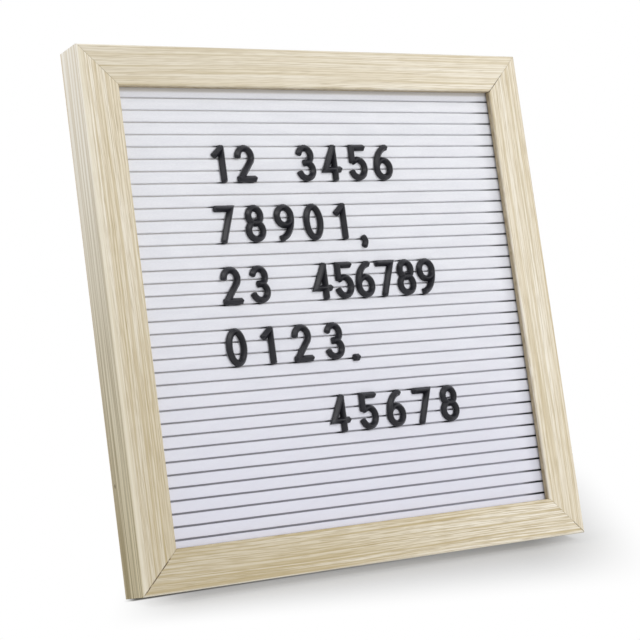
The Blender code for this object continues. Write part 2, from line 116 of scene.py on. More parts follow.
class Finish:
    """The nodes of a material, or of the world.

    add() makes any node: its type, its settings, then the values or links of its sockets.
    """

    def __init__(self, name, kind=bpy.data.materials):
        self.made = kind.new(name)
        self.made.use_nodes = True
        self.tree = self.made.node_tree
        self.shader = self.tree.nodes.get("Principled BSDF") or self.tree.nodes["Background"]

    def add(self, kind, settings, *values, out=0, **named):
        node = self.tree.nodes.new(kind)
        for key, value in settings.items():
            setattr(node, key, value)
        for value, plug in zip(values, [s for s in node.inputs if s.enabled]):
            self.join(value, plug)
        for key, value in named.items():
            self.join(value, node.inputs[key])
        return Socket(self, [s for s in node.outputs if s.enabled][out])

    def join(self, value, plug):
        if isinstance(value, Socket):
            self.tree.links.new(value.out, plug)
        else:
            plug.default_value = value

    def set(self, **named):
        """Set or link sockets of the shader that the material or world starts with."""
        for key, value in named.items():
            self.join(value, self.shader.inputs[key.replace("_", " ")])
        return self.made

    def white_in_view(self, white, share=1.0):
        """Show white instead to the camera, and to metal and glass, by a share from 0 to 1."""
        rays = self.add('ShaderNodeLightPath', {}).out.node.outputs
        camera, metal, glass = [Socket(self, rays[f"Is {kind} Ray"])
                                for kind in ("Camera", "Glossy", "Transmission")]
        seen = camera.at_least(metal).at_least(glass) * share
        own = Socket(self, self.shader.outputs[0])
        both = self.add('ShaderNodeMixShader', {}, seen, own, white)
        self.join(both, self.tree.get_output_node('ALL').inputs["Surface"])

    def split(self, vector):
        """The three parts of a vector."""
        node = self.add('ShaderNodeSeparateXYZ', {}, vector).out.node
        return [Socket(self, out) for out in node.outputs]

    def leaning(self, lean, origin):
        """Object coordinates of a piece that leans back: x to the right, y up it, z out of it."""
        turn = lean - math.pi / 2
        shift = Matrix.Rotation(turn, 3, 'X') @ -Vector(origin)
        return self.split(self.add('ShaderNodeMapping', {},
                                   self.add('ShaderNodeTexCoord', {}, out=3),
                                   Location=shift, Rotation=(turn, 0, 0)))

    def noise(self, place, detail, rough=0.5, scale=1.0):
        """Noise at a place, which is a vector or its three parts."""
        if isinstance(place, tuple):
            place = self.add('ShaderNodeCombineXYZ', {}, *place)
        return self.add('ShaderNodeTexNoise', {}, Vector=place, Scale=scale, Detail=detail,
                        Roughness=rough)

    def blend(self, factor, first, second, kind='MIX'):
        """Mix two colours."""
        return self.add('ShaderNodeMix', {'data_type': 'RGBA', 'blend_type': kind},
                        factor, first, second)

    def bump(self, height, strength, distance):
        return self.add('ShaderNodeBump', {}, Height=height, Strength=strength, Distance=distance)


def srgb(red, green, blue):
    """A colour as it looks on a screen, 0 to 255, in the linear values that a shader takes."""
    return tuple(((c / 255 + 0.055) / 1.055) ** 2.4 for c in (red, green, blue)) + (1.0,)


GROUND = 6.0                        # half width, metres
floor_mesh = bpy.data.meshes.new("ground")
floor_mesh.from_pydata([(x, y, 0) for x, y in ((-GROUND, -GROUND), (GROUND, -GROUND),
                                               (GROUND, GROUND), (-GROUND, GROUND))],
                       [], [(0, 1, 2, 3)])
ground = collect(bpy.data.objects.new("ground", floor_mesh))

# The ground is matt paper that is seen pure white, but for a painted shadow: a mask lets the
# paper's own grey and its real shadow through, under and behind the board and, ever wider to the
# right, before its foot. Right under the foot the mask lets them through as a narrow dark line.
paper = Finish("white_ground")
paper.set(Base_Color=(0.6, 0.6, 0.6, 1), Roughness=1.0, Specular_IOR_Level=0.0)
gx, gy = paper.split(paper.add('ShaderNodeTexCoord', {}, out=3))[:2]
beside = gx * 0.847 - gy * 0.532    # metres along the ground, square to the photo's line of view
rear = gy.ramp(0.16, 0.06)
ends = beside.ramp(-0.098, -0.058) * beside.ramp(0.170, 0.100) * rear
before = ((gy * -1.0 - 0.040) / (gx * 0.25 + 0.078).at_least(0.02)).ramp(1.0, 0.0)
foot_line = beside.ramp(-0.0925, -0.0860) * beside.ramp(0.170, 0.060) * rear
contact = foot_line * gy.ramp(-0.0370, -0.0342) * (0.84 - gx * 1.2)
# the painted shadow's strength, from 0 for white to 1 for the paper as it is lit
shadow = (ends * before * (gx * 0.8 + 0.72)).at_least(contact)
paper.white_in_view(paper.add('ShaderNodeEmission', {}, (1, 1, 1, 1), 1.0), 1.0 - shadow)
floor_mesh.materials.append(paper.made)

backdrop = Finish("studio", bpy.data.worlds)
scene.world = backdrop.set(Color=(1, 1, 1, 1), Strength=0.32)
backdrop.white_in_view(backdrop.add('ShaderNodeBackground', {}, (1, 1, 1, 1), 1.0))


BOARD_MIDDLE = (0, 0, 0.13)


def lamp(name, place, size, power):
    """A square soft box at a place, facing the middle of the board."""
    light = bpy.data.lights.new(name, 'AREA')
    light.size = size
    light.energy = power
    ob = collect(bpy.data.objects.new(name, light))
    ob.location = place
    ob.rotation_euler = turn_to(Vector(BOARD_MIDDLE) - Vector(place))


lamp("key_upper_right", (0.5, -0.9, 0.9), 0.5, 4.6)
lamp("front_fill", (0.3, -1.5, 0.4), 0.6, 8.6)
lamp("soft_box_left", (-0.5, 0.1, 0.5), 0.3, 1.6)


# FRAME RAILS
# Four lengths of one wooden moulding, wrapped in a printed oak foil and mitred at the corners.
# The foil ends just inside the opening, and the raw edge shows below it there.
LEAN = math.radians(14.5)
RIGHT = np.array((1.0, 0.0, 0.0))
UP = np.array((0.0, math.sin(LEAN), math.cos(LEAN)))
OUT = np.array((0.0, -math.cos(LEAN), math.sin(LEAN)))
BOARD_AXES = np.stack([RIGHT, UP, OUT])


def points_of(mesh):
    """Every vertex of a mesh, one to a row."""
    flat = np.empty(3 * len(mesh.vertices))
    mesh.vertices.foreach_get("co", flat)
    return flat.reshape(-1, 3)


foot = points_of(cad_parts["rail_bottom"].data)
ORIGIN = UP * (foot @ UP).min() + OUT * (foot @ OUT).max()
HALF = foot[:, 0].max()             # half the board's width
FACE = np.ptp(foot @ UP)            # width of a rail
DEPTH = np.ptp(foot @ OUT)
RING_STEP = 0.0029                  # from one growth ring to the next, metres
KNOT_ALONG = -0.0760                # place of the left rail's knot, from its middle
KNOT_DEEP = -0.0152                 # and behind its face


def grain(finish, along, across, seed, wave):
    """Oak grain as noises that are long along the rail and narrow across it, in metres.

    Returns how dark the growth rings, the broad clouds, the thin lines, the slanted flecks and the
    pores are, each from 0 to 1. The rings are a sine across the rail. All of them follow the same
    wandering lines, so that they crowd and part together, by about wave.
    """
    wander = finish.noise((along / 0.085, across / 0.008, seed), 1.0)
    drift = finish.noise((along / 0.19, across / 0.05, seed + 3.0), 0.0)
    across = across + (wander - 0.5) * wave + (drift - 0.5) * (3 * wave)
    ring = (across * (2 * math.pi / RING_STEP) + seed).sine()
    strength = finish.noise((along / 0.11, across / 0.0025, seed + 7.0), 1.0)
    clouds = finish.noise((along / 0.15, across / 0.0045, seed + 5.0), 0.5)
    lines = finish.noise((along / 0.10, across / 0.00075, seed + 11.0), 1.0)
    slanted = across + along * 0.05
    flecks = finish.noise((along / 0.017, slanted / 0.0006, seed + 29.0), 1.0)
    pores = finish.noise((along / 0.012, across / 0.0003, seed + 17.0), 1.0)
    return (ring.ramp(-0.3, 1.0) * strength.ramp(0.34, 0.60), clouds.ramp(0.62, 0.36),
            lines.ramp(0.56, 0.33), flecks.ramp(0.52, 0.34), pores.ramp(0.44, 0.30))


def oak(finish, along, across, seed, wave, depth):
    """Pale oak foil: cream with tan rings and clouds, thin darker lines, flecks and pores."""
    rings, clouds, lines, flecks, pores = grain(finish, along, across, seed, wave)
    colour = srgb(246, 239, 224)
    for mark, share, tint in ((clouds, 0.34, srgb(222, 208, 178)),
                              (rings, 0.42, srgb(204, 186, 144)),
                              (lines, 0.50, srgb(194, 175, 132)),
                              (flecks, 0.30, srgb(184, 165, 124)),
                              (pores, 0.34, srgb(166, 146, 106))):
        colour = finish.blend(mark * (share * depth), colour, tint)
    relief = 1.0 - lines * 0.4 - pores * 0.6
    return colour, relief


def rail_finish(name, seed, wave, depth, painted_falloff, mitres):
    """The foil on one rail.

    depth is how strong the print is, and the fifth argument how much painted shade darkens it from
    one end to the other, towards the board's bottom left corner.
    mitres says for each end how far the joint stands open, from where to where along it, measured
    from the outer corner, in metres, and how dark its hairline is.
    """
    finish = Finish(name)
    x, y, z = finish.leaning(LEAN, ORIGIN)
    side = name.split("_")[1]
    middle = y - HALF
    along, edge = {"bottom": (x, y), "top": (x, 2 * HALF - y), "left": (middle, x + HALF),
                   "right": (middle, HALF - x)}[side]
    colour, relief = oak(finish, along, edge + z, seed, wave, depth)
    # painted shade, darker towards the board's bottom left corner, where less light falls
    colour = finish.blend(along.ramp(HALF, -HALF) * painted_falloff, colour, srgb(172, 156, 118))

    # the outer side is greyer and more streaked. Painted light and shade make the left one paler at
    # its top and darker down to its foot; its rounded front edge is paler, partly wear and partly a
    # painted highlight, and it has one small knot
    outside = edge.ramp(0.0009, 0.0003)
    streak = finish.noise((along / 0.16, z / 0.0013, seed + 23.0), 2.0)
    thread = finish.noise((along / 0.09, z / 0.0005, seed + 37.0), 1.0)
    # painted shade, growing down the left rail, and a fixed share of it on the others
    low = along.ramp(1.4 * HALF, -1.25 * HALF) if side == "left" else 0.4
    grey = finish.blend(low, srgb(249, 246, 239), srgb(233, 221, 187))
    dark = finish.blend(low, srgb(225, 215, 196), srgb(164, 149, 110))
    grey = finish.blend(streak.ramp(0.58, 0.42) * 0.75 + thread.ramp(0.55, 0.4) * 0.4, grey, dark)
    colour = finish.blend(outside, colour, grey)
    if side == "left":
        # the rounded front edge: partly wear, partly a painted highlight
        arris = edge.ramp(0.0038, 0.0018) * edge.ramp(0.0000, 0.0006)
        colour = finish.blend(arris * 0.6, colour, srgb(238, 231, 212))
        off, up = along - KNOT_ALONG, z - KNOT_DEEP
        knot = off * off * 0.4 + up * up
        colour = finish.blend(knot.ramp(8e-7, 1e-7) * outside * 0.8, colour, srgb(104, 88, 64))

    # the raw edge inside the opening, and the raw back
    inside = edge.ramp(FACE - 0.0005, FACE - 0.0002) * z.ramp(-0.0009, -0.0015)
    behind = z.ramp(0.0006 - DEPTH, 0.0002 - DEPTH)
    fibre = finish.noise((along / 0.004, (edge + z) / 0.0012, seed), 3.0).ramp(0.3, 0.7)
    for part, brown, pale in ((inside, srgb(174, 157, 127), srgb(206, 191, 163)),
                              (behind, srgb(196, 174, 136), srgb(214, 195, 160))):
        colour = finish.blend(part, colour, finish.blend(fibre, brown, pale))

    # the mitres: a hairline all along the joint, and a dark gap where it stands open
    for end, (gap, start, stop, dark) in zip((-1, 1), mitres):
        away = (HALF - edge) - along * end
        ragged = finish.noise((edge / 0.0019, seed + end, 0.0), 2.0)
        opened = edge.ramp(start - 0.001, start + 0.001) * edge.ramp(stop + 0.0006, stop)
        hairline = away.ramp(0.00016, 0.00006) * dark
        near = away.ramp(gap * 2.2, gap) * opened * ragged.ramp(0.36, 0.50) * 0.85
        colour = finish.blend(hairline.at_least(near), colour, srgb(92, 74, 48))
    return finish.set(Base_Color=colour, Roughness=0.52, Specular_IOR_Level=0.2,
                      Normal=finish.bump(relief, 0.08, 0.0002))


def dress(name, finish):
    """Give a CAD node its finish."""
    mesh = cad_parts[name].data
    mesh.materials.clear()
    mesh.materials.append(finish)


BOTTOM_LEFT, BOTTOM_RIGHT = (0.00024, 0.0012, 0.0152, 0.12), (0.00014, 0.0004, 0.006, 0.08)
TOP_LEFT, TOP_RIGHT = (0.00005, 0.011, 0.015, 0.02), (0.00016, 0.0105, 0.0195, 0.12)
for name, seed, wave, depth, painted_falloff, mitres in (
        ("rail_bottom", 4.0, 0.0016, 1.60, 0.50, (BOTTOM_LEFT, BOTTOM_RIGHT)),
        ("rail_right", 19.0, 0.0007, 1.08, 0.0, (BOTTOM_RIGHT, TOP_RIGHT)),
        ("rail_top", 31.0, 0.0012, 0.90, 0.26, (TOP_LEFT, TOP_RIGHT)),
        ("rail_left", 47.0, 0.0010, 1.28, 0.40, (BOTTOM_LEFT, TOP_LEFT))):
    dress(name, rail_finish(name, seed, wave, depth, painted_falloff, mitres))


# FELT FACING
# White felt, glued to the core board and pressed into its slots. Between two grooves it swells
# slightly, and it rounds softly over each edge into the groove.
def in_board(name):
    """Every vertex of a CAD node in the board's own directions: to the right, up it, out of it."""
    return (points_of(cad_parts[name].data) - ORIGIN) @ BOARD_AXES.T


felt_x, felt_y, felt_z = in_board("felt_facing").T
FELT_HALF = felt_x.max()
FELT_FRONT = felt_z.max()
CLOTH = 0.45 * MM                   # thickness of the felt
GROOVE_FLOOR = felt_z.min() + CLOTH
GROOVES = 36
PITCH = 5.905 * MM
SWELL = 0.12 * MM                   # how far the edges of a slat lie below its middle
GROOVE_TOP = 0.42 * MM              # width between two slats, at the top of the board
GROOVE_FOOT = 0.85 * MM             # the same at its foot, where the cloth is pressed in deeper
SOFT_TOP = 0.85 * MM                # radius of a slat's edge, at the top
SOFT_FOOT = 0.5 * MM
OPENING_TOP = 2 * HALF - FACE       # height of the top rail's inner edge, up the board
OPENING_RIGHT = HALF - FACE
FIRST_GROOVE = OPENING_TOP - 4.6 * MM
FELT_COLUMNS = 104


def groove_profile(groove, soft, count=7):
    """A pitch of cloth, from the middle of a slat to the middle of the next one.

    Returned as rows of (distance, depth). The slat is a shallow arch, a quarter circle rounds its
    edge, and the wall runs straight down to a round floor. The second half mirrors the first.
    """
    half_slat = PITCH / 2 - groove / 2 - soft
    share = np.linspace(0, 1, 4)
    slat = np.stack([half_slat * share, SWELL * share ** 2], 1)
    turn = np.linspace(0, math.pi / 2, count)[1:]
    edge = np.stack([half_slat + soft * np.sin(turn), SWELL + soft * (1 - np.cos(turn))], 1)
    wall = FELT_FRONT - GROOVE_FLOOR - groove / 2
    bend = np.linspace(0, math.pi / 2, 4)
    floor = np.stack([PITCH / 2 - groove / 2 * np.cos(bend), wall + groove / 2 * np.sin(bend)], 1)
    half = np.concatenate([slat, edge, floor])
    mirrored = np.stack([PITCH - half[::-1, 0], half[::-1, 1]], 1)
    return np.concatenate([half, mirrored[1:-1]])


profiles = np.array([groove_profile(GROOVE_TOP + (GROOVE_FOOT - GROOVE_TOP) * share,
                                    SOFT_TOP + (SOFT_FOOT - SOFT_TOP) * share)
                     for share in np.linspace(0, 1, GROOVES)])
starts = FIRST_GROOVE + PITCH / 2 - PITCH * np.arange(GROOVES)
down = (starts[:, None] - profiles[:, :, 0]).ravel()
sunk = profiles[:, :, 1].ravel()

# above the first profile and below the last one the cloth runs level to its edges, in the rebate
last = down[-1] - PITCH * 0.02
down = np.concatenate([[felt_y.max()], down, [last, felt_y.min()]])
sunk = np.concatenate([[0], sunk, [0, 0]])


def ripple(x, y, seed):
    """A smooth unevenness between -1 and 1: a sum of four slanted sine waves."""
    rng = np.random.default_rng(seed)
    total = 0
    for share in (0.4, 0.3, 0.2, 0.1):
        wave = rng.uniform(60, 420, 2)
        total = total + share * np.sin(x * wave[0] + y * wave[1] * 3 + rng.uniform(0, 6))
    return total


def grid_faces(rows, columns, wrap_rows=False, wrap_columns=False):
    """Quads between neighbouring rows and columns of a grid, with its ends joined if it wraps."""
    i = np.arange(rows if wrap_rows else rows - 1)[:, None]
    j = np.arange(columns if wrap_columns else columns - 1)[None, :]
    below, beside = (i + 1) % rows, (j + 1) % columns
    return np.stack([i * columns + j, i * columns + beside, below * columns + beside,
                     below * columns + j], -1).reshape(-1, 4)


def on_board(x, y, z):
    """Places in the board's own directions, as rows of world coordinates."""
    return ORIGIN + np.stack([x.ravel(), y.ravel(), z.ravel()], 1) @ BOARD_AXES


def build(name, points, faces, finish, body, crease=40):
    """A mesh piece with its finish, riding on a body."""
    mesh = bpy.data.meshes.new(name)
    mesh.from_pydata(points.tolist(), [], faces.tolist())
    mesh.materials.append(finish)
    mesh.shade_smooth()
    mesh.set_sharp_from_angle(angle=math.radians(crease))
    ob = collect(bpy.data.objects.new(name, mesh))
    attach(ob, body)
    return ob


def felt_finish():
    """Matt white felt: a faint mottle, short fibres along the slats, and painted shade in the
    grooves.

    Painted shade makes the felt darker and bluer towards the foot and its grooves darker there,
    most on the left, and painted light makes the grooves paler at the top. The grooves are painted
    darkest at their right end and beside the prongs that hold them open, and painted shade falls on
    the slats towards the right rail and under the top one.
    """
    finish = Finish("white_felt")
    x, y, z = finish.leaning(LEAN, ORIGIN)
    cloud = finish.noise((x / 0.03, y / 0.006, 1.0), 3.0)
    fibre = finish.noise((x / 0.0016, y / 0.0004, z / 0.0005), 3.0, 0.7)
    fuzz = finish.noise((x / 0.00035, y / 0.00035, z / 0.00035), 2.0)
    colour = finish.blend(cloud.ramp(0.35, 0.65) * 0.5 + fibre.ramp(0.35, 0.65) * 0.5,
                          srgb(232, 233, 239), srgb(242, 243, 248))
    deep = z.ramp(FELT_FRONT - 0.4 * MM, FELT_FRONT - 1.6 * MM)
    # painted shade towards the foot, and painted light in the grooves at the top
    low = y.ramp(2 * HALF, 0.0).power(2)
    colour = finish.blend(low * 0.8, colour, srgb(226, 226, 239))
    colour = finish.blend(deep * (1.0 - low) * (0.7 - x * 3.0), colour, srgb(254, 252, 250))
    colour = finish.blend(deep * low * (0.42 - x), colour, srgb(82, 75, 74))

    # painted shade: the grooves near black at their right end, by the rail
    mouth = z.ramp(FELT_FRONT - 0.15 * MM, FELT_FRONT - 0.9 * MM)
    end = x.ramp(OPENING_RIGHT - 13 * MM, OPENING_RIGHT - 0.5 * MM)
    colour = finish.blend(mouth * end * 0.9, colour, srgb(34, 32, 36))
    # painted shade on the slats beside the right rail and under the top one
    for shade, tint in (
            (x.ramp(OPENING_RIGHT - 9 * MM, OPENING_RIGHT), (0.76, 0.765, 0.775, 1)),
            (y.ramp(OPENING_TOP - 8 * MM, OPENING_TOP - 2.5 * MM), (0.86, 0.86, 0.865, 1)),
            (y.ramp(OPENING_TOP - 2.4 * MM, OPENING_TOP - 0.9 * MM), (0.70, 0.665, 0.60, 1))):
        colour = finish.blend(shade, colour, tint, 'MULTIPLY')
    # painted shade in the grooves beside each prong
    opened = finish.add('ShaderNodeAttribute', {'attribute_name': 'opened'}, out=2)
    colour = finish.blend(mouth * opened, colour, srgb(34, 32, 36))
    relief = fibre * 0.5 + fuzz * 0.5
    return finish.set(Base_Color=colour, Roughness=1.0, Specular_IOR_Level=0.1,
                      Sheen_Weight=0.15, Normal=finish.bump(relief, 0.35, 0.0002))


grid_x, grid_y = np.meshgrid(np.linspace(-FELT_HALF, FELT_HALF, FELT_COLUMNS), down)
sunk_by = sunk[:, None] + np.zeros_like(grid_x)
at_edge = np.exp(-((sunk_by - 0.3 * MM) / (0.4 * MM)) ** 2)
grid_y = grid_y + 0.05 * MM * ripple(grid_x, grid_y, 3) * at_edge
grid_z = FELT_FRONT - sunk_by + 0.03 * MM * (ripple(grid_x, grid_y, 8) - 1) * (sunk_by < 0.2 * MM)
felt = build("felt_cloth", on_board(grid_x, grid_y, grid_z),
             grid_faces(len(down), FELT_COLUMNS), felt_finish(), "board")
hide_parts("felt_facing")

# Each character's prongs hold the grooves open beside them, and painted shade darkens the grooves
# there. The felt's attribute "opened", the strength of that painted shade, is 1 half a millimetre
# to the left of a prong's corners, and falls to 0 at 2.6 mm along the groove and 1.4 mm across it.
NUMERALS = ("zero", "one", "two", "three", "four", "five", "six", "seven", "eight", "nine", "comma",
            "full_stop")
CHARACTERS = [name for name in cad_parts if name.rpartition("_")[0] in NUMERALS]
opened = np.zeros(grid_x.shape)
for name in CHARACTERS:
    places = in_board(name)
    for x, y, z in np.unique(places[places[:, 2] < FELT_FRONT - 2.0 * MM].round(4), axis=0):
        apart = np.hypot((grid_x - x + 0.5 * MM) / (2.6 * MM), (grid_y - y) / (1.4 * MM))
        opened = np.maximum(opened, 1 - apart)
felt.data.attributes.new("opened", 'FLOAT', 'POINT').data.foreach_set("value", opened.ravel())


# CHARACTERS
# Numerals and two points, injection moulded in charcoal plastic. Each stroke has sloping sides
# and a soft ridge, and short prongs behind it grip the felt in two grooves.
STROKE = 3.1 * MM
SOLID_STROKE = 3.5 * MM             # width of the solids' strokes, whose centrelines these share
PROUD = 2.8 * MM
SKIRT = 0.9 * MM                    # upright part of a stroke's side
RIDGE = 0.12                        # rounded share of its width on top
CHARACTER_WIDTH = 1.9 * PITCH
CHARACTER_HEIGHT = 3 * PITCH + 0.9 * MM
HALF_X = (CHARACTER_WIDTH - SOLID_STROKE) / 2
HALF_Y = (CHARACTER_HEIGHT - SOLID_STROKE) / 2
SECTION = 15                        # points over a stroke
END_RINGS = 6                       # sections that round off an open end
SHARPEST = 0.55                     # least cosine at a bend, so that its corner stays short


def slope(share):
    """A straight rise that rounds off at 1: t / (1 + t ** 9) ** (1 / 9)."""
    t = share / (1 - RIDGE)
    return t / (1 + t ** 9) ** (1 / 9)


def swept_stroke(path, closed=False, width=STROKE):
    """A moulded stroke along a centreline of (x, y) rows, as points and faces.

    Across, u runs from 0 at the ridge to 1 at the edge. Above a short upright skirt the side
    slopes as (1 - u) and rounds off into the ridge by slope(). An open end falls away in the same
    way as the section moves half a width past the last point, and narrows like a rounded square.
    """
    step = np.roll(path, -1, 0) - path
    if not closed:
        step[-1] = step[-2]
    step /= np.linalg.norm(step, axis=1)[:, None]
    before = np.roll(step, 1, 0)
    if not closed:
        before[0] = step[0]
    along = before + step
    along /= np.linalg.norm(along, axis=1)[:, None]
    stretch = 1 / np.maximum((along * step).sum(1), SHARPEST)
    wide = np.ones(len(path))
    tall = np.ones(len(path))
    if not closed:
        reach = np.sin(np.linspace(0, 1, END_RINGS + 1)[1:] * math.pi / 2 * 0.97)
        narrow = (1 - reach ** 4) ** (1 / 4)
        lower = np.minimum(1, (SKIRT / PROUD + slope(1 - reach) * 1.1))
        start = path[0] - step[0] * (reach * width / 2)[::-1, None]
        finish = path[-1] + step[-2] * (reach * width / 2)[:, None]
        path = np.concatenate([start, path, finish])
        along = np.concatenate([np.tile(along[0], (END_RINGS, 1)), along,
                                np.tile(along[-1], (END_RINGS, 1))])
        stretch = np.concatenate([np.ones(END_RINGS), stretch, np.ones(END_RINGS)])
        wide = np.concatenate([narrow[::-1], wide, narrow])
        tall = np.concatenate([lower[::-1], tall, lower])
    side = np.stack([-along[:, 1], along[:, 0]], 1) * (stretch * wide * width / 2)[:, None]
    u = np.linspace(-1, 1, SECTION)
    rise = SKIRT + (PROUD - SKIRT) * slope(1 - np.abs(u)) / slope(1)
    u = np.concatenate([[-1], u, [1]])
    rise = np.concatenate([[0], rise, [0]])
    flat = path[:, None, :] + side[:, None, :] * u[None, :, None]
    height = tall[:, None] * rise[None, :]
    points = np.concatenate([flat, height[..., None]], 2).reshape(-1, 3)
    ring = len(u)
    faces = grid_faces(len(path), ring, closed, True).tolist()
    if not closed:
        faces.append(list(range(ring)))
        faces.append(list(range(len(points) - 1, len(points) - 1 - ring, -1)))
    return points, faces


def prong_shape(x, y):
    """A flat prong that tapers to its tip, as points and faces."""
    level = np.array((1.0, -1.6, -2.8)) * MM
    half_width = np.array((0.85, 0.85, 0.55)) * MM
    half_sheet = np.array((0.25, 0.25, 0.12)) * MM
    sign = np.array(((-1, -1), (1, -1), (1, 1), (-1, 1)))
    points = np.stack([x + half_width[:, None] * sign[None, :, 0],
                       y + half_sheet[:, None] * sign[None, :, 1],
                       level[:, None] + np.zeros((1, 4))], -1).reshape(-1, 3)
    faces = grid_faces(3, 4, False, True).tolist()
    return points, faces + [[0, 1, 2, 3], [11, 10, 9, 8]]


def bow(centre, radius, start, end, count=40):
    """A centreline on an ellipse, in half widths and half heights, angles in degrees."""
    turn = np.radians(np.linspace(start, end, count))
    return np.stack([(centre[0] + radius[0] * np.cos(turn)) * HALF_X,
                     (centre[1] + radius[1] * np.sin(turn)) * HALF_Y], 1)


def loop(centre, radius, count=64):
    """A closed ellipse in the same units."""
    return bow(centre, radius, 90, 450, count + 1)[:-1]


def line(*points):
    """A straight or bent centreline in the same units."""
    return np.array(points) * (HALF_X, HALF_Y)


def turn_outwards(mesh):
    """Make the faces of closed shells look outwards."""
    work = bmesh.new()
    work.from_mesh(mesh)
    bmesh.ops.recalc_face_normals(work, faces=work.faces)
    work.to_mesh(mesh)
    work.free()


def moulded(name, strokes, prongs, reach=1.5 * PITCH):
    """Join a character's strokes and prongs into one mesh.

    A stroke is its centreline, whether it is closed, and its width. A prong stands at a share of
    HALF_X and a share of reach from the character's middle.
    """
    shapes = [swept_stroke(*stroke) for stroke in strokes]
    shapes += [prong_shape(x * HALF_X, end * reach) for x, end in prongs]
    parts = []
    for points, faces in shapes:
        mesh = bpy.data.meshes.new(name)
        mesh.from_pydata(points.tolist(), [], faces)
        turn_outwards(mesh)
        parts.append(collect(bpy.data.objects.new(name, mesh)))
    for part in parts[1:]:
        join = parts[0].modifiers.new("join", 'BOOLEAN')
        join.operation = 'UNION'
        join.object = part
    graph = bpy.context.evaluated_depsgraph_get()
    mesh = bpy.data.meshes.new_from_object(parts[0].evaluated_get(graph))
    for part in parts:
        bpy.data.objects.remove(part)
    return mesh


bend = np.linspace(0, 1, 12)[:, None]
comma = STROKE * np.concatenate([0.2 * np.sin(bend * 2.9) - 0.12, 0.12 - 1.1 * bend], 1)
point = np.array(((-0.3 * MM, 0), (0.3 * MM, 0)))
SHAPES = {
    'zero': ([(loop((0, 0), (1, 1)), True)], [(0, 1), (0, -1)]),
    'one': ([(line((0.25, 1), (0.25, -1)),), (line((0.1, 0.93), (-0.7, 0.58)),)],
            [(0.25, 1), (0.25, -1)]),
    'two': ([(np.concatenate([bow((0, 0.45), (0.95, 0.55), 170, -35), line((-0.75, -0.9))]),),
             (line((-0.95, -1), (1, -1)),)], [(0, 1), (-0.8, -1), (0.8, -1)]),
    'three': ([(bow((0, 0.5), (0.88, 0.5), 155, -90),), (bow((0, -0.48), (1, 0.52), 90, -155),)],
              [(0, 1), (0, -1)]),
    'four': ([(line((0.4, 1), (-1, -0.45), (1, -0.45)),), (line((0.4, 0.96), (0.4, -1)),)],
             [(0.4, 1), (0.4, -1)]),
    'five': ([(line((0.9, 1), (-0.75, 1), (-0.8, 0.16)),),
              (bow((-0.02, -0.4), (1, 0.6), 122, -152),)], [(-0.7, 1), (0.7, 1), (0, -1)]),
    'six': ([(loop((0, -0.42), (1, 0.58)), True),
             (bow((0.75, -0.42), (1.75, 1.42), 175, 98, 20),)], [(0.5, 1), (0, -1)]),
    'seven': ([(line((-1, 1), (1, 1), (-0.35, -1)),)], [(-0.8, 1), (0.8, 1), (-0.35, -1)]),
    'eight': ([(loop((0, 0.5), (0.86, 0.5)), True), (loop((0, -0.46), (1, 0.54)), True)],
              [(0, 1), (0, -1)]),
    'nine': ([(loop((0, 0.42), (1, 0.58)), True),
              (bow((-0.75, 0.42), (1.75, 1.42), -5, -82, 20),)], [(0, 1), (-0.5, -1)]),
    'comma': ([(comma, False, 0.95 * STROKE)], [(0, -1)], 0),
    'full_stop': ([(point, False, 1.1 * STROKE)], [(0, -1)], 0),
}
GLYPHS = {name: moulded(name, *shape) for name, shape in SHAPES.items()}


def plastic_finish():
    """Charcoal plastic with a satin skin: a fine texture and slightly uneven gloss."""
    finish = Finish("charcoal_plastic")
    place = finish.add('ShaderNodeTexCoord', {}, out=3)
    cloud = finish.noise(place, 2.0, scale=260.0)
    texture = finish.noise(place, 2.0, scale=5200.0)
    colour = finish.blend(cloud.ramp(0.3, 0.7), srgb(22, 22, 29), srgb(31, 31, 38))
    return finish.set(Base_Color=colour, Roughness=0.32 + 0.14 * cloud, Specular_IOR_Level=0.4,
                      Normal=finish.bump(texture, 0.12, 0.00005))


# Each mesh is copied to the middle of its solid, with the ridge at the same height.
charcoal = plastic_finish()
for name in CHARACTERS:
    solid = in_board(name)
    mesh = GLYPHS[name.rpartition("_")[0]].copy()
    mesh.name = f"moulded_{name}"
    own = points_of(mesh)
    shift = (solid.max(0) + solid.min(0) - own.max(0) - own.min(0)) / 2
    shift[2] = solid[:, 2].max() - own[:, 2].max()
    mesh.vertices.foreach_set("co", on_board(*(own + shift).T).ravel())
    mesh.materials.clear()
    mesh.materials.append(charcoal)
    mesh.shade_smooth()
    mesh.set_sharp_from_angle(angle=math.radians(38))
    ob = collect(bpy.data.objects.new(f"moulded_{name}", mesh))
    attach(ob, "board")
    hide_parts(name)


# BACKING AND CORE
# The back is a sheet of brown hardboard that shows the mesh of its press. The core that carries
# the felt is plain fibreboard. Both lie in the rebate of the frame.
MESH_PITCH = 0.0013                 # from one wire of the press to the next, metres


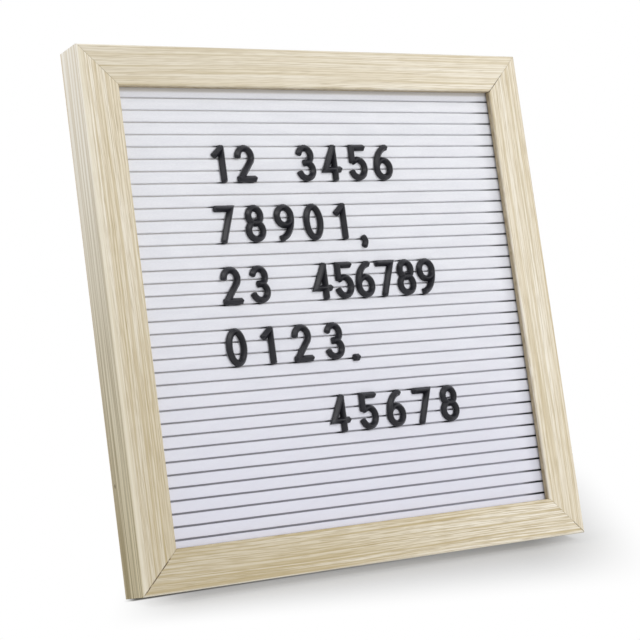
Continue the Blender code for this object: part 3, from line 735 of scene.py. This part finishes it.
def board_finish(name, pale, dark, mesh):
    """Pressed wood fibre: fine felted flecks, a few dark ones, and a pressed mesh if asked."""
    finish = Finish(name)
    x, y, z = finish.leaning(LEAN, ORIGIN)
    cloud = finish.noise((x, y, z), 3.0, scale=45.0)
    fleck = finish.noise((x / 0.0016, y / 0.0010, z / 0.0010), 3.0, 0.65)
    speck = finish.noise((x / 0.0011, y / 0.0008, z / 0.0008 + 40.0), 1.0)
    colour = finish.blend(fleck.ramp(0.35, 0.65) * 0.6 + cloud.ramp(0.3, 0.7) * 0.4, dark, pale)
    colour = finish.blend(speck.ramp(0.34, 0.26) * 0.6, colour, srgb(66, 46, 30))
    relief = fleck
    if mesh:
        wave = 2 * math.pi / MESH_PITCH
        wires = (x * wave).sine() * (y * wave).sine()
        relief = relief * 0.6 + wires * mesh
    return finish.set(Base_Color=colour, Roughness=0.62 + 0.12 * fleck, Specular_IOR_Level=0.25,
                      Normal=finish.bump(relief, 0.3, 0.00015))


dress("backing_board", board_finish("hardboard", srgb(166, 133, 99), srgb(138, 107, 77), 0.25))
dress("core_board", board_finish("fibreboard", srgb(190, 166, 136), srgb(168, 142, 110), 0))


# STEEL FITTINGS
# Zinc plated: V-nails across the mitres, pointed tabs that hold the backing, a sawtooth hanger on
# two tacks, and the leg's bracket, pin and four cross-head screws.
def zinc_finish(name, brushed):
    """Zinc plate: a bluish grey with faint blotches, brushed one way, duller in the blotches."""
    finish = Finish(name)
    x, y, z = finish.leaning(LEAN, ORIGIN)
    blotch = finish.noise((x, y, z), 2.0, scale=380.0)
    scratch = finish.noise((x / 0.006, y / 0.00012, z / 0.00012), 2.0)
    colour = finish.blend(blotch.ramp(0.35, 0.65), srgb(180, 182, 183), srgb(204, 205, 204))
    rough = 0.30 + 0.12 * blotch + brushed * scratch
    return finish.set(Base_Color=colour, Metallic=1.0, Roughness=rough,
                      Normal=finish.bump(scratch, 0.1 + brushed, 0.00003))


zinc_sheet, zinc_wire = zinc_finish("zinc_sheet", 0.12), zinc_finish("zinc_wire", 0.03)
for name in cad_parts:
    if name.startswith(("v_nail", "backing_point", "hanger_tack", "leg_pin")):
        dress(name, zinc_wire)
    if name in ("sawtooth_hanger", "leg_bracket"):
        dress(name, zinc_sheet)

SCREW_TURNS = 48
CROSS_REACH = 0.62                  # of the head's radius
CROSS_HALF = 0.14                   # half width of its arms, of the same radius
CROSS_DEPTH = 0.75 * MM
RIM = 0.05 * MM                     # upright edge below the dome
SHANK = 0.5                         # of the head's radius


def screw_head(radius, height, length):
    """A pan head with a cross recess, and the shank below it, as rings from the middle outwards.

    The dome is height * (1 - (r / radius) ** 4) ** 0.5. The recess is cut where a point lies
    within an arm of the cross, and its floor rises towards the end of the arm.
    """
    share = np.concatenate([np.linspace(0.02, 0.70, 22), np.linspace(0.74, 1.0, 10)])
    turn = np.linspace(0, 2 * math.pi, SCREW_TURNS, endpoint=False)
    r, angle = np.meshgrid(share, turn, indexing='ij')
    x, y = r * np.cos(angle), r * np.sin(angle)
    dome = height * np.maximum(1 - r ** 4, 0) ** 0.5
    arm = np.maximum(np.minimum(np.abs(x), np.abs(y)) - CROSS_HALF, 0) / 0.05
    reach = np.maximum(np.abs(x), np.abs(y)) / CROSS_REACH
    cut = np.clip(1 - arm, 0, 1) * np.clip((1 - reach) * 4, 0, 1) * (1 - 0.5 * reach)
    z = dome - CROSS_DEPTH * np.maximum(cut, 0)
    head = np.stack([x * radius, y * radius, z], -1)
    ring = np.stack([np.cos(turn), np.sin(turn)], 1) * radius
    rims = [np.column_stack([ring * out, np.full(SCREW_TURNS, level)])
            for out, level in ((1, -RIM), (SHANK, -RIM), (SHANK, -length))]
    points = np.concatenate([head.reshape(-1, 3), *rims])
    faces = grid_faces(len(share) + 3, SCREW_TURNS, False, True).tolist()
    faces.append(list(range(SCREW_TURNS))[::-1])
    faces.append(list(range(len(points) - SCREW_TURNS, len(points))))
    return points, faces


# Each screw faces backwards, with its cross at another angle.
for number in range(1, 5):
    solid = in_board(f"bracket_screw_{number}")
    middle = (solid.max(0) + solid.min(0)) / 2
    radius = np.ptp(solid[:, 0]) / 2
    from_axis = np.hypot(solid[:, 0] - middle[0], solid[:, 1] - middle[1])
    under = solid[from_axis > radius * 0.98][:, 2].max()
    points, faces = screw_head(radius, under - solid[:, 2].min(), solid[:, 2].max() - under)
    turned = points * (1, 1, -1)
    angle = math.radians(20 + 47 * number)
    spin = np.array(((math.cos(angle), math.sin(angle)), (-math.sin(angle), math.cos(angle))))
    turned[:, :2] = turned[:, :2] @ spin
    screw = build(f"cross_head_screw_{number}",
                  on_board(*(turned + (middle[0], middle[1], under)).T),
                  np.array(faces, dtype=object), zinc_wire, "board", 32)
    turn_outwards(screw.data)
    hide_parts(f"bracket_screw_{number}")


# LEG
# A flat strut of the same pale wood, wider at the foot, with the grain along it. It turns on the
# bracket's pin, and its bevelled top comes up to the bracket's plate when it is open.
LEG_ANGLE = math.radians(12)
LEG_PIN = (0, 0.012473, 0.154002)   # middle of the pin that the leg turns on
strut = Finish("leg_oak")
leg_x, leg_y, leg_z = strut.leaning(-LEG_ANGLE, LEG_PIN)
colour, relief = oak(strut, leg_y, leg_x + leg_z * 0.6, 71.0, 0.0016, 1.2)
dress("leg", strut.set(Base_Color=colour, Roughness=0.58, Specular_IOR_Level=0.3,
                       Normal=strut.bump(relief, 0.3, 0.0002)))
